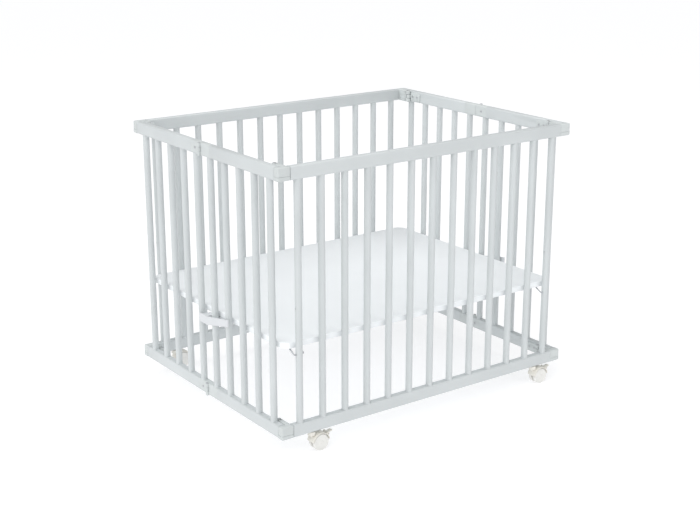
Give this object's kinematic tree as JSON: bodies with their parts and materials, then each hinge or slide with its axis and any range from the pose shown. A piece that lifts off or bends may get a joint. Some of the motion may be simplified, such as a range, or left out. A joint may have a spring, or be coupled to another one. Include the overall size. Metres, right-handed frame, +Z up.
{
  "type": "playpen",
  "caption": "Folding slatted playpen with painted rails and round bars, a raised two-leaf floor on wire hooks, hinged ends and swivel castors.",
  "frame": {"origin": "on the ground, under the middle of the pen", "axes": "+X along the long sides, +Y from the front side to the back side, +Z up"},
  "size_m": [0.971, 0.7522, 0.753],
  "materials": {
    "painted_wood": "satin paint, pale grey with a little green",
    "hinge_plastic": "moulded, matte, pale grey",
    "steel": "zinc-plated wire, pins and screws",
    "floor_board": "smooth white coated board",
    "white_plastic": "moulded, white",
    "castor_plastic": "moulded, cream white",
    "castor_wheel": "moulded, white"
  },
  "bodies": {
    "front_side": {"front_top_rail": "painted_wood", "front_bottom_rail": "painted_wood", "front_bars": "painted_wood", "front_corner_bars": "painted_wood", "front_corner_fittings": "hinge_plastic", "front_corner_pins": "steel", "front_fitting_screws": "steel", "front_floor_hooks": "steel", "front_castor_stems": "steel"},
    "back_side": {"back_top_rail": "painted_wood", "back_bottom_rail": "painted_wood", "back_bars": "painted_wood", "back_corner_bars": "painted_wood", "back_corner_fittings": "hinge_plastic", "back_corner_pins": "steel", "back_fitting_screws": "steel", "back_floor_hooks": "steel", "back_castor_stems": "steel"},
    "left_front_half": {"left_front_top_rail": "painted_wood", "left_front_bottom_rail": "painted_wood", "left_front_bars": "painted_wood", "left_front_corner_hinges": "hinge_plastic", "left_front_middle_hinges": "hinge_plastic", "left_front_hinge_screws": "steel", "left_middle_pins": "steel"},
    "left_back_half": {"left_back_top_rail": "painted_wood", "left_back_bottom_rail": "painted_wood", "left_back_bars": "painted_wood", "left_back_corner_hinges": "hinge_plastic", "left_back_middle_hinges": "hinge_plastic", "left_back_hinge_screws": "steel"},
    "right_front_half": {"right_front_top_rail": "painted_wood", "right_front_bottom_rail": "painted_wood", "right_front_bars": "painted_wood", "right_front_corner_hinges": "hinge_plastic", "right_front_middle_hinges": "hinge_plastic", "right_front_hinge_screws": "steel", "right_middle_pins": "steel"},
    "right_back_half": {"right_back_top_rail": "painted_wood", "right_back_bottom_rail": "painted_wood", "right_back_bars": "painted_wood", "right_back_corner_hinges": "hinge_plastic", "right_back_middle_hinges": "hinge_plastic", "right_back_hinge_screws": "steel"},
    "front_floor": {"front_floor_leaf": "floor_board", "floor_yokes": "white_plastic", "front_floor_clips": "white_plastic"},
    "back_floor": {"back_floor_leaf": "floor_board", "back_floor_clips": "white_plastic"},
    "front_left_castor": {"front_left_castor_housing": "castor_plastic"},
    "front_left_wheels": {"front_left_castor_wheels": "castor_wheel"},
    "front_right_castor": {"front_right_castor_housing": "castor_plastic"},
    "front_right_wheels": {"front_right_castor_wheels": "castor_wheel"},
    "back_left_castor": {"back_left_castor_housing": "castor_plastic"},
    "back_left_wheels": {"back_left_castor_wheels": "castor_wheel"},
    "back_right_castor": {"back_right_castor_housing": "castor_plastic"},
    "back_right_wheels": {"back_right_castor_wheels": "castor_wheel"},
    "front_left_lever": {"front_left_brake_lever": "castor_plastic"},
    "front_right_lever": {"front_right_brake_lever": "castor_plastic"}
  },
  "joints": [
    {"name": "fold", "type": "hinge", "parent": "front_side", "child": "left_front_half", "pos_m": [-0.452, -0.312, 0], "axis": [0, 0, -1], "range_deg": [0, 90], "deforming": ["front_floor_leaf", "floor_yokes", "front_floor_clips", "back_floor_leaf", "back_floor_clips"]},
    {"name": "left_middle_hinge", "type": "hinge", "parent": "left_front_half", "child": "left_back_half", "pos_m": [-0.481, 0, 0], "axis": [0, 0, 1], "range_deg": [0, 180]},
    {"name": "back_left_corner_hinge", "type": "hinge", "parent": "left_back_half", "child": "back_side", "pos_m": [-0.452, 0.312, 0], "axis": [0, 0, -1], "range_deg": [0, 90]},
    {"name": "front_right_corner_hinge", "type": "hinge", "parent": "front_side", "child": "right_front_half", "pos_m": [0.452, -0.312, 0], "axis": [0, 0, 1], "range_deg": [0, 90]},
    {"name": "right_middle_hinge", "type": "hinge", "parent": "right_front_half", "child": "right_back_half", "pos_m": [0.481, 0, 0], "axis": [0, 0, -1], "range_deg": [0, 180]},
    {"name": "front_floor_lift", "type": "hinge", "parent": "front_side", "child": "front_floor", "pos_m": [0, -0.348, 0.301], "axis": [1, 0, 0], "range_deg": [0, 90]},
    {"name": "back_floor_lift", "type": "hinge", "parent": "back_side", "child": "back_floor", "pos_m": [0, 0.348, 0.301], "axis": [-1, 0, 0], "range_deg": [0, 90]},
    {"name": "front_left_swivel", "type": "hinge", "parent": "front_side", "child": "front_left_castor", "pos_m": [-0.385, -0.361, 0.05], "axis": [0, 0, 1], "continuous": true},
    {"name": "front_left_roll", "type": "hinge", "parent": "front_left_castor", "child": "front_left_wheels", "pos_m": [-0.363, -0.361, 0.022], "axis": [0, 1, 0], "continuous": true},
    {"name": "front_right_swivel", "type": "hinge", "parent": "front_side", "child": "front_right_castor", "pos_m": [0.385, -0.361, 0.05], "axis": [0, 0, 1], "continuous": true},
    {"name": "front_right_roll", "type": "hinge", "parent": "front_right_castor", "child": "front_right_wheels", "pos_m": [0.407, -0.361, 0.022], "axis": [0, 1, 0], "continuous": true},
    {"name": "back_left_swivel", "type": "hinge", "parent": "back_side", "child": "back_left_castor", "pos_m": [-0.385, 0.361, 0.05], "axis": [0, 0, 1], "continuous": true},
    {"name": "back_left_roll", "type": "hinge", "parent": "back_left_castor", "child": "back_left_wheels", "pos_m": [-0.363, 0.361, 0.022], "axis": [0, 1, 0], "continuous": true},
    {"name": "back_right_swivel", "type": "hinge", "parent": "back_side", "child": "back_right_castor", "pos_m": [0.385, 0.361, 0.05], "axis": [0, 0, 1], "continuous": true},
    {"name": "back_right_roll", "type": "hinge", "parent": "back_right_castor", "child": "back_right_wheels", "pos_m": [0.407, 0.361, 0.022], "axis": [0, 1, 0], "continuous": true},
    {"name": "front_left_brake", "type": "hinge", "parent": "front_left_castor", "child": "front_left_lever", "pos_m": [-0.33975, -0.361, 0.04016], "axis": [0, 1, 0], "range_deg": [0, 20]},
    {"name": "front_right_brake", "type": "hinge", "parent": "front_right_castor", "child": "front_right_lever", "pos_m": [0.43025, -0.361, 0.04016], "axis": [0, 1, 0], "range_deg": [0, 20]}
  ],
  "couplings": [
    {"joint": "left_middle_hinge", "follows": "fold", "ratio": 2},
    {"joint": "back_left_corner_hinge", "follows": "fold", "ratio": 1},
    {"joint": "front_right_corner_hinge", "follows": "fold", "ratio": 1},
    {"joint": "right_middle_hinge", "follows": "fold", "ratio": 2},
    {"joint": "front_floor_lift", "follows": "fold", "ratio": 1},
    {"joint": "back_floor_lift", "follows": "fold", "ratio": 1}
  ]
}
